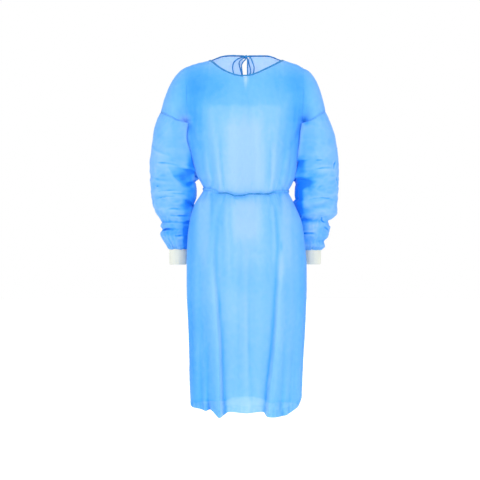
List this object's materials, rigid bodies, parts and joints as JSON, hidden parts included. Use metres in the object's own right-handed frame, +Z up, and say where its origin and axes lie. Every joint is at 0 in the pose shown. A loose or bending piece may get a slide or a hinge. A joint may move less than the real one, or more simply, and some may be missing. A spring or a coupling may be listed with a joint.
{
  "type": "surgical gown",
  "caption": "Worn-form disposable nonwoven gown with drop shoulders, full sleeves gathered into knit cuffs, bound neck tied at the nape, and a waist tie over a long skirt.",
  "frame": {"origin": "midway between the two high shoulder points of the neck opening, where the gown hangs from the wearer's shoulders", "axes": "+Z up, the front of the gown faces -Y, the wearer's left side is at +X"},
  "size_m": [0.6381, 0.3153, 1.2075],
  "materials": {
    "cloth": "thin light blue spunbond nonwoven, half see-through",
    "trim": "the same nonwoven folded into tape, darker where it is doubled",
    "knit": "white rib knit, matt"
  },
  "bodies": {
    "root": {"front_panel": "cloth", "back_panel_left": "cloth", "back_panel_right": "cloth", "sleeve_left": "cloth", "sleeve_right": "cloth", "cuff_left": "knit", "cuff_right": "knit", "neck_binding": "trim", "neck_knot": "trim", "neck_loop_left": "trim", "neck_loop_right": "trim", "neck_end_left": "trim", "neck_end_right": "trim", "waist_tie": "trim", "waist_knot": "trim", "waist_loop_left": "trim", "waist_loop_right": "trim", "waist_end_left": "trim", "waist_end_right": "trim"}
  },
  "joints": []
}
